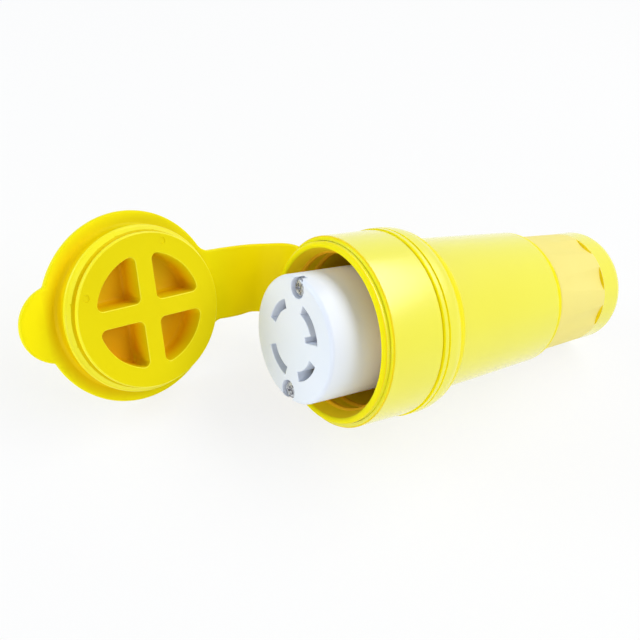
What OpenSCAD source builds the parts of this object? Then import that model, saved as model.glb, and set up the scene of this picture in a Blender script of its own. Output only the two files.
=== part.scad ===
// Watertight four-wire locking connector with a tethered flip lid, lying at rest on a flat surface.
// Every piece is drawn on the connector's own axis: +Z points out of the mouth, and Z is 0 at the
// front edge of the lid's collar. The last transform lays the whole connector down.

/* [Shell] */
// Outside radius of the barrel that carries the lid's collar
barrel_r = 31.3; // [31:0.1:32]
// Width of the rounded lip at the mouth
lip_w = 2.3; // [1.5:0.1:3]
// How far the lip stands ahead of the collar
lip_h = 2.5; // [2:0.1:4]
// Length of the barrel from the collar's front edge to the bead
barrel_len = 21.3; // [18:0.1:26]
// Outside radius of the bead and of the shoulder behind it
bead_r = 33.45; // [33.3:0.05:36]
// Length of the bead along the axis
bead_len = 1.9; // [1.4:0.1:3]
// Width and depth of the thin groove between the bead and the shoulder
bead_groove = 0.5; // [0.3:0.05:0.9]
// Straight length of the shoulder behind the groove
shoulder_straight = 2.3; // [1:0.1:5]
// Length of the rounded fall of the shoulder
shoulder_len = 7.2; // [6:0.1:10]
// How far the shoulder's rounding falls towards the axis
shoulder_drop = 2.75; // [2:0.05:3.5]
// Radius at the wide end of the tapered grip
grip_front_r = 28.3; // [27:0.1:29.5]
// Radius at the narrow end of the tapered grip
grip_rear_r = 25.8; // [25:0.1:27]
// Length of the tapered grip
grip_len = 52.6; // [48:0.1:64]
// Rounding at the rear end of the grip
grip_round = 4.2; // [2:0.1:5]
// Wall of the barrel round the mouth
bore_wall = 3.7; // [3.3:0.1:4]
// How far the sealing ribs stand into the mouth
rib_h = 0.8; // [0.5:0.1:1.2]
// Width of a sealing rib at its crest
rib_w = 1.2; // [0.8:0.1:2]
// Depth of the first sealing rib behind the collar's front edge
rib_first = 3.8; // [3:0.1:5]
// Distance from the first sealing rib to the second
rib_pitch = 5.9; // [4.5:0.1:8]
// Depth of the mouth's floor behind the collar's front edge
mouth_depth = 26; // [22:0.5:29]
// Depth of the pocket that the socket insert slides into, behind the mouth's floor
pocket_len = 40; // [34:0.5:46]
// Radius of the wiring chamber behind the pocket
chamber_r = 15.5; // [13:0.1:16.5]

/* [Cable end] */
// Outside radius of the threaded tail
tail_r = 20; // [19:0.1:21]
// Length of the threaded tail
tail_len = 20; // [17:0.5:24]
// Inside radius of the tail, where the grommet sits
tail_bore_r = 17; // [16.6:0.1:17.6]
// Depth of the grommet's seat inside the tail
seat_len = 14; // [10:0.5:16]
// Radius of the hole for the cable in the grommet
cable_r = 9; // [6:0.1:11]
// Radius of the grommet's rear flange
grommet_flange_r = 19.2; // [18.2:0.1:19.8]
// Thickness of the grommet's rear flange
grommet_flange_t = 3; // [2:0.1:4]
// Thickness of the friction ring
ring_t = 1.6; // [1:0.1:2.5]
// Radius of the hole in the friction ring
ring_hole_r = 12.4; // [11.5:0.1:14]
// Outside radius of the nut at its front edge
nut_front_r = 23.9; // [23.2:0.1:24.4]
// Outside radius of the nut's rear ring
nut_ring_r = 23; // [22.4:0.1:23.8]
// Length of the flats on the nut
flat_len = 25.4; // [20:0.1:27]
// Number of flats round the nut
flat_count = 9; // [6:1:12]
// How deep each flat is cut
flat_depth = 0.6; // [0.3:0.05:1]
// Direction of the first flat, seen from the front
flat_angle = 6.6; // [0:0.1:39]
// Length of the straight part of the nut's rear ring
nut_ring_len = 6.6; // [4:0.1:12]
// Rounding of the nut's rear end
nut_round = 8; // [6:0.1:8.5]
// Radius of the cable opening in the nut
nut_hole_r = 13.5; // [12.6:0.1:14.2]

/* [Socket insert] */
// Radius of the insert
insert_r = 21.8; // [21:0.1:22.6]
// How far the insert's face stands ahead of the lip
insert_out = 13.25; // [10:0.25:16]
// Length of the insert's front piece
face_len = 24; // [20:0.5:26]
// Length of the terminal block behind it
base_len = 28; // [26:0.5:32]
// Rounding of the insert's front edge
face_round = 1.5; // [0.8:0.1:2]
// Pitch radius of the blade slots
slot_r = 12.3; // [11.5:0.1:12.8]
// Width of a blade slot
slot_w = 3.2; // [2.2:0.1:3.6]
// Thickness of the front wall that the slots pass through
slot_wall = 5.5; // [4:0.1:7]
// How far the ground slot's foot reaches in from the slot
slot_foot = 3.4; // [2:0.1:4.5]
// Direction of the first face screw, seen from the front
screw_angle = 69; // [64:1:78]
// Distance from the insert's edge in to the centre of a face screw
screw_inset = 3.4; // [3.3:0.1:3.8]
// Radius of a face screw's head
screw_head_r = 2.9; // [2.5:0.1:3.1]
// Gap round a face screw's head in its recess
head_gap = 0.7; // [0.3:0.05:1]
// Radius of a face screw's shank
screw_r = 1.75; // [1.4:0.05:1.9]
// Thickness of the brass in the contacts
contact_t = 0.9; // [0.6:0.05:1.1]
// Width of a terminal tail and of its clamp plate
terminal_w = 8.8; // [7.5:0.1:9.6]
// Radius of a terminal screw's head
terminal_head_r = 3.3; // [2.8:0.1:3.6]
// Radius of a terminal screw's shank
terminal_screw_r = 1.9; // [1.5:0.05:2.1]

/* [Lid and strap] */
// Wall of the collar sleeve
collar_wall = 1.6; // [1.2:0.05:1.7]
// Radius of the lid's flange
flange_r = 32.7; // [31.5:0.1:34]
// Thickness of the lid's flange
flange_t = 2.6; // [2:0.1:3.4]
// Radius of the sealing bead round the plug
plug_bead_r = 28.2; // [27.4:0.1:28.8]
// Radius of the plug's end disc
plug_r = 25.8; // [24.5:0.1:26.4]
// How far the plug stands out of the flange
plug_len = 11.6; // [10:0.1:14]
// Distance of the sealing bead behind the flange
bead_back = 6; // [4.5:0.1:7]
// Distance of the groove behind the flange
groove_back = 9.3; // [8:0.1:9.8]
// Outer radius of the four pockets in the plug
pocket_r = 19.3; // [17.5:0.1:21.5]
// Depth of the pockets
pocket_depth = 9.4; // [6:0.1:9.8]
// Width of the cross ribs between the pockets
cross_w = 6; // [4:0.1:8]
// Rounding of the pockets' corners
pocket_round = 2; // [1:0.1:2.6]
// Radius of the thumb tab's round end
tab_r = 13; // [10:0.1:15]
// Reach of the thumb tab's tip from the lid's centre
tab_reach = 40; // [37:0.1:44]
// Width of the strap
strap_w = 25.7; // [20:0.1:28]
// Thickness of the strap
strap_t = 2; // [1.6:0.1:2.2]
// Width of the strap's flared root on the collar
strap_root_w = 37; // [30:0.5:42]
// Fillet between the strap and the flange
strap_fillet = 6; // [3:0.1:8]
// Direction of the strap round the connector, seen from the front
strap_angle = 155; // [145:1:165]
// Distance of the strap's bend line from the connector's axis
hinge_r = 48.1; // [46:0.1:52]
// How far the lid is swung open from its closed place
lid_open = 87.5; // [80:0.5:100]
// Skew of the bend line across the strap
hinge_yaw = 10.9; // [0:0.1:14]
// Lift of the bend line along the strap's width
hinge_lift = 7.6; // [0:0.1:10]
// Radius of the rounded nose on the bend line
nose_r = 2.2; // [1.9:0.1:2.8]

/* [Clearances] */
// Gap between the barrel and the lid's collar
collar_gap = 0.1; // [0.05:0.05:0.25]
// Gap round the insert in its pocket, and round the pieces inside it
insert_gap = 0.2; // [0.1:0.05:0.35]
// Gap between pieces that move past each other
run_gap = 0.3; // [0.2:0.05:0.5]
// Gap between a screw and the threads that hold it
thread_gap = 0.05; // [0.02:0.01:0.1]

/* [Hidden] */
$fn = 96;

// Blade slots as [first angle, sweep], seen from the front, in the order ground, line a, neutral, line b
poles = [[-7, 60], [97.5, 48.5], [187, 52], [272.5, 49]];
foot_sweep = 14;
ground = 0;
line_a = 1;
neutral = 2;
line_b = 3;

yellow = [0.98, 0.90, 0.10];
deep_yellow = [0.92, 0.86, 0.02];
matte_yellow = [0.98, 0.92, 0.45];
nylon = [0.90, 0.92, 0.96];
brass = [0.80, 0.64, 0.26];
nickel = [0.76, 0.76, 0.76];
dark_rubber = [0.15, 0.15, 0.15];

// How far a cutting shape runs past the face it opens
cut = 1;

// Places along the axis, from the mouth to the cable end
lip_round = lip_w / 2;
mouth_r = barrel_r - lip_w;
bore_r = barrel_r - bore_wall;
rib_r = bore_r - rib_h;
edge = 0.4;
bead_z = -barrel_len;
groove_z = bead_z - bead_len;
shoulder_z = groove_z - bead_groove;
fall_z = shoulder_z - shoulder_straight;
crease_z = fall_z - shoulder_len;
crease_len = 0.9;
grip_z = crease_z - crease_len;
grip_end_z = grip_z - grip_len;
shell_end_z = grip_end_z - grip_round;
tail_end_z = shell_end_z - tail_len;
floor_z = -mouth_depth;
pocket_end_z = floor_z - pocket_len;
seat_z = tail_end_z + seat_len;
fall_angle = 2 * atan2(shoulder_drop, shoulder_len);
fall_r = shoulder_len / sin(fall_angle);
grommet_z = tail_end_z - grommet_flange_t;
ring_z = grommet_z - run_gap / 2;
nut_floor_z = ring_z - ring_t - run_gap / 2;
nut_front_z = shell_end_z - run_gap;
nut_ring_z = nut_front_z - flat_len;
flat_stop = 0.8;
flat_end_z = nut_ring_z + flat_stop;
nut_dome_z = nut_ring_z - nut_ring_len;
nut_end_z = nut_dome_z - nut_round;
face_z = lip_h + insert_out;
joint_z = face_z - face_len;
base_end_z = joint_z - base_len;

// Sizes inside the insert, measured out from the axis
tuck = 0.05;
jaw_gap = slot_w - 2 * insert_gap;
jaw_in = slot_r - jaw_gap / 2 - contact_t;
jaw_out = slot_r + jaw_gap / 2 + contact_t;
jaw_z = face_z - slot_wall - insert_gap;
web_z = joint_z + contact_t + insert_gap;
tail_back = sqrt(pow(jaw_out, 2) - pow(terminal_w / 2, 2)) - tuck;
tail_x = tail_back - contact_t;
tail_reach = 18;
tail_end = joint_z - tail_reach;
clamp_t = 1.6;
wire_gap = 2.4;
clamp_x = tail_x - wire_gap - clamp_t;
screw_spare = 1;
screw_tip_x = clamp_x - screw_spare;
window_x = screw_tip_x - screw_spare;
window_cover = 5;
window_front = joint_z - window_cover;
window_rear = tail_end - 2 * insert_gap;
terminal_z = tail_end + terminal_w / 2;
terminal_head_t = 2.2;
screw_pitch_r = insert_r - screw_inset;
screw_recess_r = screw_head_r + head_gap;
screw_recess = 3.2;
screw_head_t = 1.9;
drive_w = 0.9;
drive_depth = 1;
drive_turn = 20;
nut_t = 2.6;
nut_w = 6;

// Bend line of the strap, and the turn that opens the lid
strap_dir = [cos(strap_angle), sin(strap_angle), 0];
across_dir = [-sin(strap_angle), cos(strap_angle), 0];
lid_z = lip_h + run_gap;
hinge_z = lid_z + flange_t / 2;
hinge_pt = hinge_r * strap_dir + [0, 0, hinge_z];
hinge_axis = -sin(hinge_yaw) * cos(hinge_lift) * strap_dir + cos(hinge_yaw) * cos(hinge_lift) * across_dir
    + [0, 0, sin(hinge_lift)];
strap_shift = 1;
collar_in = barrel_r + collar_gap;
collar_out = collar_in + collar_wall;
bend_x = collar_out + strap_t / 2;
bend_r = hinge_r - bend_x;
fold_angle = 30;
root_x = sqrt(pow(collar_in, 2) - pow(strap_root_w / 2 + strap_shift, 2));
fillet_y = strap_w / 2 + strap_fillet;
fillet_sink = 0.15;
fillet_x = sqrt(pow(flange_r + strap_fillet - fillet_sink, 2) - pow(fillet_y, 2));
fold_x = fillet_x + strap_t;

function arc(centre, r, from, to, steps = 8) =
    [for (i = [0:steps]) let (a = from + (to - from) * i / steps) centre + r * [cos(a), sin(a)]];
function turned(v, axis, angle) =
    v * cos(angle) + cross(axis, v) * sin(angle) + axis * (axis * v) * (1 - cos(angle));
function opened(p) = hinge_pt + turned(p - hinge_pt, hinge_axis, lid_open);

// The connector at rest: the shoulder and the nut's ring lie on the surface, which sets the tilt, and the
// body has rolled over until the lid's flange lies on the surface too, which sets the roll.
// Each rim is [centre, radius, direction of its axis, radius of its rounded edge].
plug_dir = turned([0, 0, -1], hinge_axis, lid_open);
shoulder_rim = [[0, 0, fall_z], bead_r - fall_r, [0, 0, 1], fall_r];
nut_rim = [[0, 0, nut_dome_z], nut_ring_r - nut_round, [0, 0, 1], nut_round];
tab_centre = (tab_r - tab_reach) * strap_dir;
lid_rims = [for (z = [lid_z, lid_z + flange_t]) each [
    [opened([0, 0, z]), flange_r, plug_dir, 0],
    [opened(tab_centre + [0, 0, z]), tab_r, plug_dir, 0]]];
function reach(rim, dir) = rim[0] * dir + rim[1] * sqrt(max(0, 1 - pow(rim[2] * dir, 2))) + rim[3];
function lid_reach(dir) = max([for (rim = lid_rims) reach(rim, dir)]);
function body_reach(dir) = max(reach(shoulder_rim, dir), reach(nut_rim, dir));
rim_rise = shoulder_rim[1] - nut_rim[1];
rim_span = fall_z - nut_dome_z;
rest_tilt = atan2(rim_rise, rim_span) + asin((fall_r - nut_round) / norm([rim_rise, rim_span]));
function up_at(roll) = [cos(rest_tilt) * sin(roll), cos(rest_tilt) * cos(roll), sin(rest_tilt)];
function lid_gap(roll) = body_reach(-up_at(roll)) - lid_reach(-up_at(roll));
function settle(low, high, steps) = steps == 0 ? low
    : lid_gap((low + high) / 2) > 0 ? settle((low + high) / 2, high, steps - 1)
    : settle(low, (low + high) / 2, steps - 1);
rest_roll = settle(low = 0, high = 75, steps = 40);
up = up_at(rest_roll);
rear = (sin(rest_tilt) * up - [0, 0, 1]) / cos(rest_tilt);
side = cross(up, rear);
function whole_reach(dir) = max(lid_reach(dir), body_reach(dir));
rest_place = [(whole_reach(-rear) - whole_reach(rear)) / 2, (whole_reach(-side) - whole_reach(side)) / 2,
    whole_reach(-up)];

module at_rest() {
    translate(rest_place) rotate([0, rest_tilt, 0]) rotate([90, 0, -90]) rotate([0, 0, rest_roll])
        children();
}

module tube(outer, inner, from, to) {
    translate([0, 0, to]) difference() {
        cylinder(r = outer, h = from - to);
        translate([0, 0, -cut]) cylinder(r = inner, h = from - to + 2 * cut);
    }
}

// Ring sector between two radii, from one angle over a sweep
module sector(inner, outer, from, sweep, low, high) {
    translate([0, 0, low]) rotate([0, 0, from]) rotate_extrude(angle = sweep)
        translate([inner, 0]) square([outer - inner, high - low]);
}

// Block in a pole's own directions: X out from the axis, Y across, Z along the connector
module block(x, half_w, z) {
    translate([x[0], -half_w, z[0]]) cube([x[1] - x[0], 2 * half_w, z[1] - z[0]]);
}

function pole_angle(pole) = poles[pole][0] + poles[pole][1] / 2;

module at_pole(pole) {
    rotate([0, 0, pole_angle(pole)]) children();
}

module at_face_screws() {
    for (turn = [0, 180]) rotate([0, 0, screw_angle + turn]) translate([screw_pitch_r, 0, 0]) children();
}

function rib(z) =
    [[bore_r, z - rib_w], [rib_r, z - rib_w / 2], [rib_r, z + rib_w / 2], [bore_r, z + rib_w]];

module body_shell() {
    outside = concat(
        arc([mouth_r + lip_round, lip_h - lip_round], lip_round, 180, 0),
        [[barrel_r, bead_z], [bead_r - edge, bead_z], [bead_r, bead_z - edge],
         [bead_r, groove_z + edge], [bead_r - bead_groove, groove_z], [bead_r - bead_groove, shoulder_z]],
        arc([bead_r - edge, shoulder_z - edge], edge, 90, 0, 4),
        arc([bead_r - fall_r, fall_z], fall_r, 0, -fall_angle),
        [[grip_front_r, grip_z]],
        arc([grip_rear_r - grip_round, grip_end_z], grip_round, 0, -90),
        [[tail_r, shell_end_z], [tail_r, tail_end_z + edge], [tail_r - edge, tail_end_z]]);
    inside = concat(
        [[tail_bore_r, tail_end_z], [tail_bore_r, seat_z], [chamber_r, seat_z], [chamber_r, pocket_end_z],
         [insert_r + insert_gap, pocket_end_z], [insert_r + insert_gap, floor_z], [bore_r, floor_z]],
        rib(-rib_first - rib_pitch), rib(-rib_first));
    color(yellow) rotate_extrude() polygon(concat(outside, inside));
}

// Round bar along the strap's bend line
module bend_rod(r, w) {
    translate(hinge_pt - strap_shift * hinge_axis)
        rotate([0, acos(hinge_axis[2]), atan2(hinge_axis[1], hinge_axis[0])])
        cylinder(r = r, h = w, center = true, $fn = 32);
}

// Strap seen along its width: straight out of the collar's wall, then bent up towards the lid
module bend_outline() {
    polygon(concat([[root_x, hinge_z - bend_r - strap_t / 2]],
        arc([bend_x, hinge_z], bend_r + strap_t / 2, -90, -fold_angle),
        arc([bend_x, hinge_z], bend_r - strap_t / 2, -fold_angle, -90),
        [[root_x, hinge_z - bend_r + strap_t / 2]]));
}

// Flare of the strap where it grows out of the collar
module root_outline() {
    flare = (strap_root_w - strap_w) / 2;
    polygon(concat(
        [[root_x, strap_root_w / 2], [root_x, -strap_root_w / 2]],
        arc([bend_x, -strap_root_w / 2], flare, 180, 90),
        arc([bend_x, strap_root_w / 2], flare, 270, 180)));
}

// Strap from the collar's wall to the skewed bend line
module strap_band() {
    rotate([0, 0, strap_angle]) translate([0, -strap_shift, 0]) difference() {
        union() {
            translate([0, strap_w / 2, 0]) rotate([90, 0, 0]) linear_extrude(strap_w) bend_outline();
            translate([0, 0, hinge_z - bend_r - strap_t / 2 + tuck])
                linear_extrude(strap_t - 2 * tuck) root_outline();
        }
        translate([0, strap_shift, bead_z]) cylinder(r = collar_in + collar_wall / 2, h = barrel_len + cut);
    }
    hull() {
        rotate([0, 0, strap_angle]) translate([bend_x, -strap_shift, hinge_z]) rotate([0, fold_angle, 0])
            translate([bend_r, 0, -edge / 2])
            cube([strap_t - 2 * tuck, strap_w - 2 * tuck, edge], center = true);
        bend_rod(strap_t / 2, strap_w);
    }
}

module lid_collar() {
    color(deep_yellow) difference() {
        union() {
            rotate_extrude() polygon([[collar_in, 0], [collar_out - edge, 0], [collar_out, -edge],
                [collar_out, bead_z + collar_gap], [collar_in, bead_z + collar_gap]]);
            strap_band();
        }
        bend_rod(nose_r + run_gap, strap_root_w);
    }
}

// One of the four pockets, with round corners, between the cross ribs
module pocket() {
    low = cross_w / 2 + pocket_round;
    far = sqrt(pow(pocket_r - pocket_round, 2) - low * low);
    lean = atan2(low, far);
    polygon(concat(
        arc([far, low], pocket_round, -90, lean, 6),
        arc([0, 0], pocket_r, lean, 90 - lean, 12),
        arc([low, far], pocket_round, 90 - lean, 180, 6),
        arc([low, low], pocket_round, 180, 270, 6)));
}

// Tongue of the strap in the lid's plane, with fillets where it leaves the flange
module tongue_outline() {
    lean = atan2(fillet_y, fillet_x);
    polygon(concat(
        arc([fillet_x, fillet_y], strap_fillet, 180 + lean, 270),
        [[fold_x, strap_w / 2], [fold_x, -strap_w / 2]],
        arc([fillet_x, -fillet_y], strap_fillet, 90, 180 - lean)));
}

module lid_closed() {
    bead_at = lid_z - bead_back;
    groove_at = lid_z - groove_back;
    end_at = lid_z - plug_len;
    bead_round = 0.8;
    neck_round = 2;
    neck_r = plug_bead_r - bead_round;
    groove_lip = 0.6;
    groove_r = plug_r + groove_lip;
    groove_half = 0.5;
    difference() {
        union() {
            rotate_extrude() polygon(concat(
                [[0, lid_z + flange_t]],
                arc([flange_r - edge, lid_z + flange_t - edge], edge, 90, 0, 4),
                [[flange_r, lid_z]],
                arc([neck_r + neck_round, lid_z - neck_round], neck_round, 90, 180, 6),
                [[neck_r, bead_at + 1.5 * bead_round]],
                arc([neck_r, bead_at], bead_round, 60, -60, 6),
                [[groove_r, groove_at + groove_half], [groove_r, groove_at - groove_half],
                 [plug_r, end_at + edge], [plug_r - edge, end_at], [0, end_at]]));
            translate(tab_centre + [0, 0, lid_z]) cylinder(r = tab_r, h = flange_t);
            rotate([0, 0, strap_angle]) translate([0, -strap_shift, lid_z])
                linear_extrude(flange_t) tongue_outline();
            hull() {
                rotate([0, 0, strap_angle]) translate([fold_x - edge, -strap_shift, hinge_z])
                    cube([edge, strap_w - 2 * tuck, flange_t - 2 * tuck], center = true);
                bend_rod(strap_t / 2, strap_w - 2 * tuck);
            }
            bend_rod(nose_r, strap_w);
        }
        for (turn = [0:90:270]) rotate([0, 0, strap_angle + turn]) translate([0, 0, end_at - cut])
            linear_extrude(pocket_depth + cut) pocket();
    }
}

module closure_lid() {
    color(deep_yellow) translate(hinge_pt) rotate(a = lid_open, v = hinge_axis) translate(-hinge_pt)
        lid_closed();
}

module compression_nut() {
    bore = tail_r + run_gap;
    draft = atan2(nut_front_r - nut_ring_r, flat_len);
    color(matte_yellow) difference() {
        rotate_extrude() polygon(concat(
            [[bore, nut_front_z], [nut_front_r - edge, nut_front_z], [nut_front_r, nut_front_z - edge],
             [nut_ring_r, nut_ring_z]],
            arc([nut_ring_r - nut_round, nut_dome_z], nut_round, 0, -90),
            [[nut_hole_r + edge, nut_end_z], [nut_hole_r, nut_end_z + edge],
             [nut_hole_r, nut_floor_z], [bore, nut_floor_z]]));
        for (i = [0:flat_count - 1]) rotate([0, 0, flat_angle + i * 360 / flat_count])
            translate([nut_ring_r - flat_depth, 0, flat_end_z]) rotate([0, draft, 0])
            translate([0, -tail_r, 0]) cube([tail_r, 2 * tail_r, 2 * flat_len]);
    }
}

module friction_ring() {
    color(nylon) tube(tail_r - run_gap, ring_hole_r, ring_z, ring_z - ring_t);
}

module cord_grommet() {
    body_r = tail_bore_r - insert_gap;
    front_z = seat_z - insert_gap;
    lead = 1;
    color(dark_rubber) rotate_extrude() polygon([
        [cable_r, front_z], [body_r - lead, front_z], [body_r, front_z - lead], [body_r, tail_end_z],
        [grommet_flange_r, tail_end_z], [grommet_flange_r, grommet_z], [cable_r, grommet_z]]);
}

// Passage for a blade through the front wall, with the ground pole's inward foot
module blade_slot(pole) {
    first = poles[pole][0];
    sweep = poles[pole][1];
    sector(slot_r - slot_w / 2, slot_r + slot_w / 2, first, sweep, jaw_z, face_z + cut);
    if (pole == ground)
        sector(slot_r - slot_w / 2 - slot_foot, slot_r, first, foot_sweep, jaw_z, face_z + cut);
}

// Space for a contact's jaw behind its slot
module jaw_space(pole) {
    spare = 2;
    first = poles[pole][0] - spare;
    sweep = poles[pole][1] + 2 * spare;
    sector(jaw_in - insert_gap, jaw_out + insert_gap, first, sweep, joint_z - cut, jaw_z + insert_gap);
}

module insert_face() {
    color(nylon) difference() {
        rotate_extrude() polygon(concat([[0, joint_z], [insert_r, joint_z]],
            arc([insert_r - face_round, face_z - face_round], face_round, 0, 90, 5), [[0, face_z]]));
        for (pole = [0:3]) blade_slot(pole);
        for (pole = [0:3]) jaw_space(pole);
        at_face_screws() {
            translate([0, 0, face_z - screw_recess])
                cylinder(r = screw_recess_r, h = screw_recess + cut, $fn = 48);
            translate([0, 0, joint_z - cut])
                cylinder(r = screw_r + insert_gap, h = face_len + cut, $fn = 32);
        }
    }
}

module insert_base() {
    color(nylon) difference() {
        translate([0, 0, base_end_z]) cylinder(r = insert_r, h = base_len);
        for (pole = [0:3]) at_pole(pole) {
            block([tail_x - insert_gap, tail_back + insert_gap], terminal_w / 2 + insert_gap,
                [window_front - cut, joint_z + cut]);
            block([window_x, insert_r + cut], terminal_w / 2 + 2 * insert_gap, [window_rear, window_front]);
            translate([tail_x - wire_gap / 2, 0, base_end_z - cut])
                cylinder(r = wire_gap, h = terminal_z - base_end_z + cut, $fn = 32);
        }
        at_face_screws() {
            translate([0, 0, base_end_z - cut])
                cylinder(r = screw_r + insert_gap, h = base_len + 2 * cut, $fn = 32);
            translate([0, 0, base_end_z - cut]) nut_blank(nut_w + 2 * insert_gap, nut_t + cut);
        }
    }
}

// Brass contact: an arc-shaped jaw, closed at the back, and a flat tail with a screw hole
module contact(pole) {
    jaw_tip = jaw_z - insert_gap;
    web_end = web_z - contact_t;
    color(brass) difference() {
        union() {
            rotate([0, 0, poles[pole][0]]) rotate_extrude(angle = poles[pole][1]) polygon([
                [jaw_in, web_end], [jaw_out, web_end], [jaw_out, jaw_tip], [jaw_out - contact_t, jaw_tip],
                [jaw_out - contact_t, web_z], [jaw_in + contact_t, web_z], [jaw_in + contact_t, jaw_tip],
                [jaw_in, jaw_tip]]);
            at_pole(pole) block([tail_x, tail_back], terminal_w / 2, [tail_end, web_z - tuck]);
        }
        terminal_hole(pole, terminal_screw_r + insert_gap);
    }
}

module terminal_hole(pole, r) {
    at_pole(pole) translate([0, 0, terminal_z]) rotate([0, 90, 0]) cylinder(r = r, h = insert_r, $fn = 32);
}

module contact_ground() { contact(ground); }
module contact_neutral() { contact(neutral); }
module contact_line_a() { contact(line_a); }
module contact_line_b() { contact(line_b); }

// Plate behind a contact's tail that clamps the wire when its screw is drawn up
module clamp_plate(pole) {
    color(brass) difference() {
        at_pole(pole) block([clamp_x, clamp_x + clamp_t], terminal_w / 2,
            [tail_end, tail_end + terminal_w]);
        terminal_hole(pole, terminal_screw_r + thread_gap);
    }
}

module clamp_ground() { clamp_plate(ground); }
module clamp_neutral() { clamp_plate(neutral); }
module clamp_line_a() { clamp_plate(line_a); }
module clamp_line_b() { clamp_plate(line_b); }

module terminal_screw(pole) {
    at_pole(pole) translate([0, 0, terminal_z]) rotate([0, 90, 0]) {
        translate([0, 0, screw_tip_x]) cylinder(r = terminal_screw_r, h = tail_back - screw_tip_x, $fn = 32);
        translate([0, 0, tail_back]) difference() {
            cylinder(r = terminal_head_r, h = terminal_head_t, $fn = 32);
            translate([0, 0, terminal_head_t]) drive_slot(2 * (terminal_head_r + cut));
        }
    }
}

// Slot of a screw's drive, cut down from the top of its head
module drive_slot(length) {
    translate([-length / 2, -drive_w / 2, -drive_depth]) cube([length, drive_w, drive_depth + cut]);
}

module ground_screw() {
    color("seagreen") terminal_screw(ground);
}

module terminal_screws() {
    color(brass) for (pole = [line_a, neutral, line_b]) terminal_screw(pole);
}

// Cross-recessed screws that draw the face, the terminal block and the nuts together
module assembly_screws() {
    seat = face_z - screw_recess;
    tip = base_end_z + insert_gap;
    cross_len = 1.1 * screw_head_r;
    color(nickel) at_face_screws() {
        translate([0, 0, tip]) cylinder(r = screw_r, h = seat - tip, $fn = 32);
        difference() {
            translate([0, 0, seat]) cylinder(r = screw_head_r, h = screw_head_t, $fn = 48);
            for (turn = [0, 90]) rotate([0, 0, drive_turn + turn]) translate([0, 0, seat + screw_head_t])
                drive_slot(cross_len);
        }
    }
}

module nut_blank(w, t) {
    translate([-w / 2, -w / 2, 0]) cube([w, w, t]);
}

module assembly_nuts() {
    color(nickel) at_face_screws() translate([0, 0, base_end_z]) difference() {
        nut_blank(nut_w, nut_t - insert_gap);
        translate([0, 0, -cut]) cylinder(r = screw_r + thread_gap, h = nut_t + 2 * cut, $fn = 32);
    }
}

at_rest() body_shell();
at_rest() lid_collar();
at_rest() closure_lid();
at_rest() compression_nut();
at_rest() friction_ring();
at_rest() cord_grommet();
at_rest() insert_face();
at_rest() insert_base();
at_rest() contact_ground();
at_rest() contact_neutral();
at_rest() contact_line_a();
at_rest() contact_line_b();
at_rest() clamp_ground();
at_rest() clamp_neutral();
at_rest() clamp_line_a();
at_rest() clamp_line_b();
at_rest() ground_screw();
at_rest() terminal_screws();
at_rest() assembly_screws();
at_rest() assembly_nuts();
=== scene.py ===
# Watertight four-wire locking connector with a tethered flip lid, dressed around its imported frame.
# Pieces are modelled in millimetres on the connector's own axis, where +Z points out of the mouth and
# Z is 0 at the front edge of the lid's collar, and are then laid down where the frame lies.
from math import atan2, cos, degrees, hypot, pi, radians, sin, sqrt, tan

import bmesh
import bpy
from mathutils import Matrix, Vector


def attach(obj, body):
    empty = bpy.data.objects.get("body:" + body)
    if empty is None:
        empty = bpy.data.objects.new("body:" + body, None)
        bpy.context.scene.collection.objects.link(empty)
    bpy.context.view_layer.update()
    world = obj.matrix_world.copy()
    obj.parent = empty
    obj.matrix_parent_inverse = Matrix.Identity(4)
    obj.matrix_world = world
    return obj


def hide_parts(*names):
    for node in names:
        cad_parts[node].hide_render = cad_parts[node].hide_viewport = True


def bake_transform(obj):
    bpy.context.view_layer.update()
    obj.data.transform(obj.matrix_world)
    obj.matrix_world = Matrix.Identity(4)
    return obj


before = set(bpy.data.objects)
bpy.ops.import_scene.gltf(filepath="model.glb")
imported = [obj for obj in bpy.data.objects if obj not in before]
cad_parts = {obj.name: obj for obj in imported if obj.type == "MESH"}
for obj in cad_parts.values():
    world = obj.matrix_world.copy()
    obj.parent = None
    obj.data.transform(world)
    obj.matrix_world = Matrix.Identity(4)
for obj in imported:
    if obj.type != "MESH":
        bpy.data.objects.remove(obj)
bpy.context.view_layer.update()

scene = bpy.context.scene
scene.view_settings.view_transform = "Standard"

# ---- how the connector lies, in millimetres and degrees ----
REST_PLACE = Vector((-19.541, -13.9587, 36.1033))
REST_TILT = 6.14575
REST_ROLL = 39.9689
METRES = 0.001
SEAM = 0.002
LAID = (
    Matrix.Diagonal((METRES, METRES, METRES, 1))
    @ Matrix.Translation(REST_PLACE)
    @ Matrix.Rotation(radians(REST_TILT), 4, "Y")
    @ Matrix.Rotation(radians(-90), 4, "Z")
    @ Matrix.Rotation(radians(90), 4, "X")
    @ Matrix.Rotation(radians(REST_ROLL), 4, "Z")
)

# ---- sizes of the connector ----
MOUTH_R, BARREL_R, LIP_H = 29.0, 31.3, 2.5
BEAD_Z, BEAD_R, BEAD_LEN, BEAD_GROOVE = -21.3, 33.45, 1.9, 0.5
GROOVE_Z = BEAD_Z - BEAD_LEN
SHOULDER_Z = GROOVE_Z - BEAD_GROOVE
SHOULDER_STRAIGHT, SHOULDER_LEN, SHOULDER_DROP = 2.3, 7.2, 2.75
FALL_Z = SHOULDER_Z - SHOULDER_STRAIGHT
CREASE_Z = FALL_Z - SHOULDER_LEN
GRIP_Z = CREASE_Z - 0.9
GRIP_FRONT_R, GRIP_REAR_R, GRIP_LEN, GRIP_ROUND = 28.3, 25.8, 52.6, 4.2
GRIP_END_Z = GRIP_Z - GRIP_LEN
SHELL_END_Z = GRIP_END_Z - GRIP_ROUND
BORE_R, RIB_R, RIB_W, RIB_FIRST, RIB_PITCH = 27.6, 26.8, 1.2, 3.8, 5.9
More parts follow.
